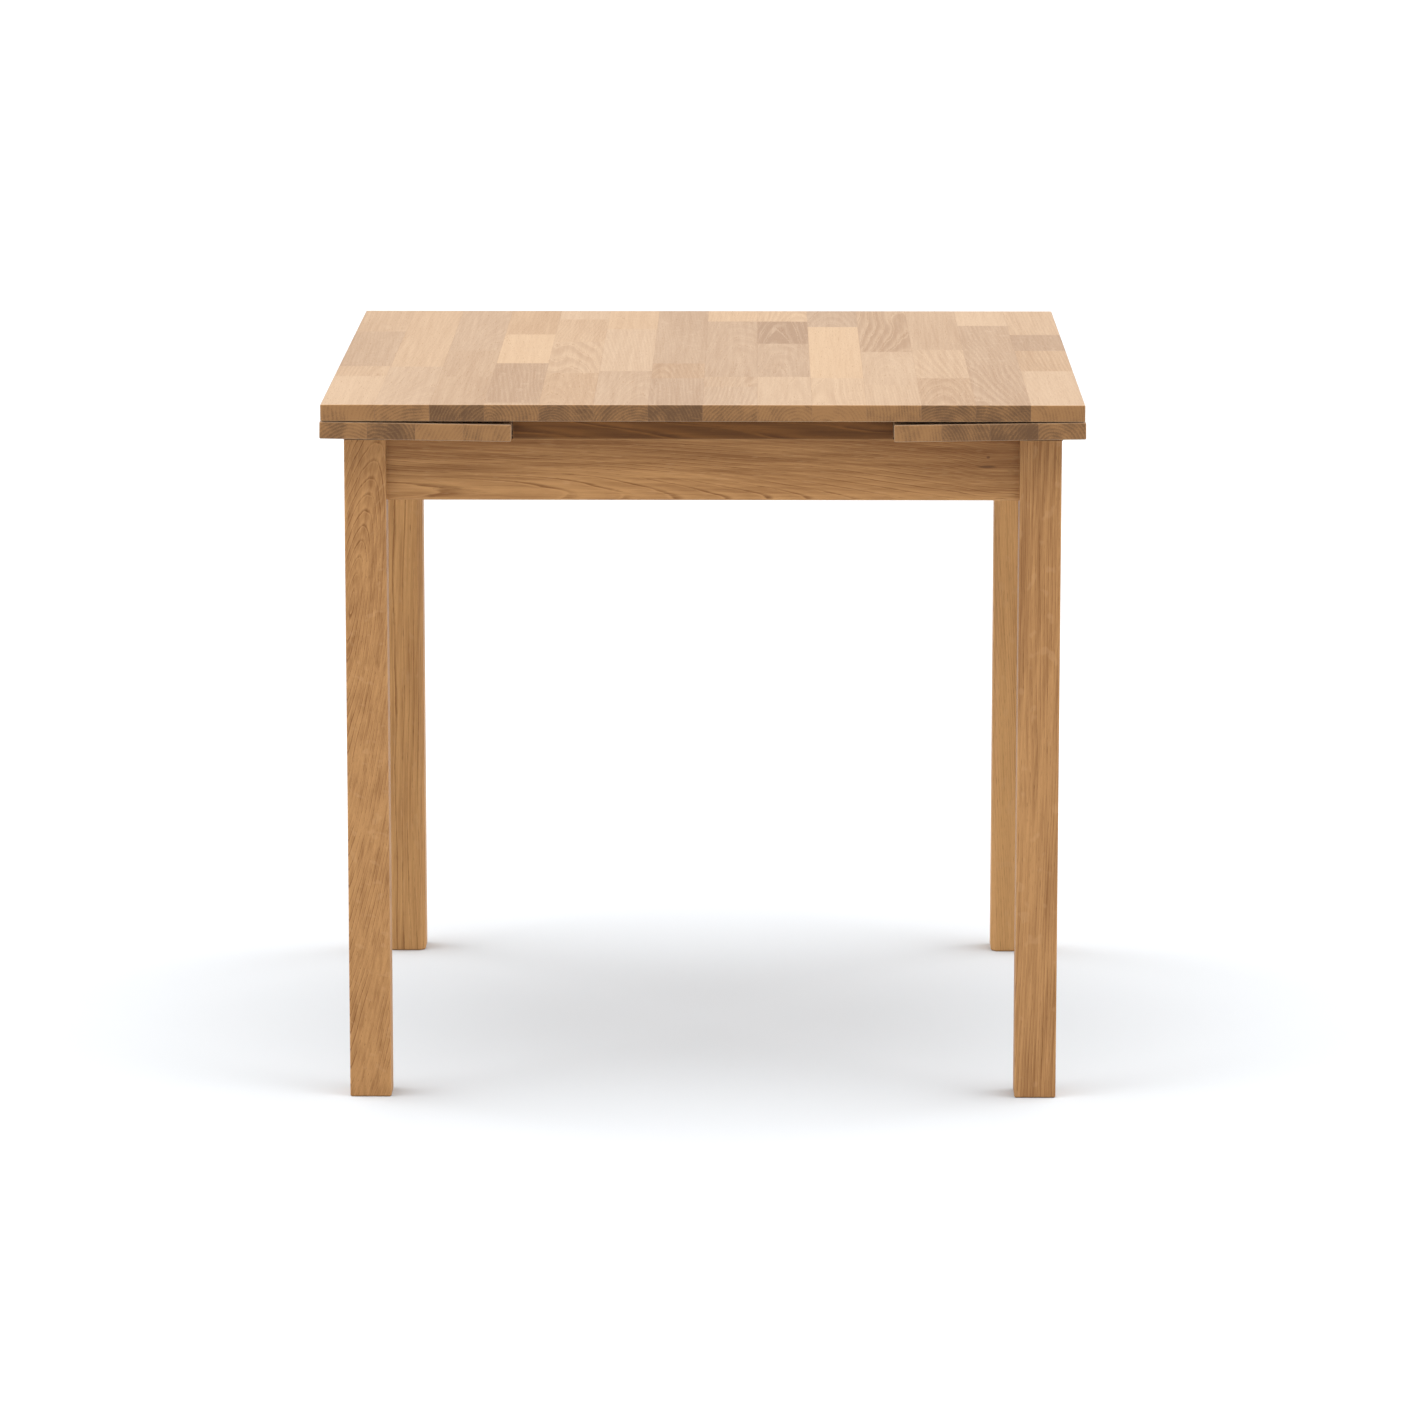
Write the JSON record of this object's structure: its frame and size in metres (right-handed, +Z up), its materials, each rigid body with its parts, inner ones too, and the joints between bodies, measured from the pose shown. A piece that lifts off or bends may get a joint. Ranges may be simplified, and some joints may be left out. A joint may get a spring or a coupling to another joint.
{
  "type": "draw leaf table",
  "caption": "Small square dining table with a loose pegged top and a leaf at each end that draws out on bearers to lengthen it.",
  "frame": {"origin": "on the floor, at the middle of the table in plan", "axes": "+X towards the right leaf, along the direction that the leaves draw; -Y to the front; +Z up"},
  "size_m": [0.8024, 0.8, 0.75],
  "materials": {
    "oak_top": "satin oiled oak, edge-glued staves",
    "oak_frame": "satin oiled oak, straight grain",
    "inner_wood": "sanded hardwood, unfinished",
    "zinc_steel": "bright zinc plated steel"
  },
  "bodies": {
    "frame": {"front_left_leg": "oak_frame", "rear_left_leg": "oak_frame", "front_right_leg": "oak_frame", "rear_right_leg": "oak_frame", "front_apron": "oak_frame", "rear_apron": "oak_frame", "left_end_rail": "oak_frame", "right_end_rail": "oak_frame", "left_guide_rail": "inner_wood", "right_guide_rail": "inner_wood", "centre_board": "oak_frame", "front_left_corner_block": "inner_wood", "rear_left_corner_block": "inner_wood", "front_right_corner_block": "inner_wood", "rear_right_corner_block": "inner_wood", "leg_dowels": "inner_wood", "hanger_bolts": "zinc_steel", "hanger_washers": "zinc_steel", "hanger_nuts": "zinc_steel", "corner_block_screws": "zinc_steel", "centre_board_screws": "zinc_steel"},
    "left_leaf": {"left_leaf": "oak_top", "left_leaf_front_bearer": "inner_wood", "left_leaf_rear_bearer": "inner_wood", "left_leaf_screws": "zinc_steel", "left_leaf_stop_pins": "inner_wood"},
    "right_leaf": {"right_leaf": "oak_top", "right_leaf_front_bearer": "inner_wood", "right_leaf_rear_bearer": "inner_wood", "right_leaf_screws": "zinc_steel", "right_leaf_stop_pins": "inner_wood"},
    "main_top": {"main_top": "oak_top", "top_pegs": "inner_wood"}
  },
  "joints": [
    {"name": "left_leaf_draw", "type": "slide", "parent": "frame", "child": "left_leaf", "axis": [-0.9999, 0, 0.0149], "range_m": [0, 0.2]},
    {"name": "right_leaf_draw", "type": "slide", "parent": "frame", "child": "right_leaf", "axis": [0.9999, 0, 0.0149], "range_m": [0, 0.2]},
    {"name": "top_lift", "type": "slide", "parent": "frame", "child": "main_top", "axis": [0, 0, 1], "range_m": [0, 0.022]}
  ]
}
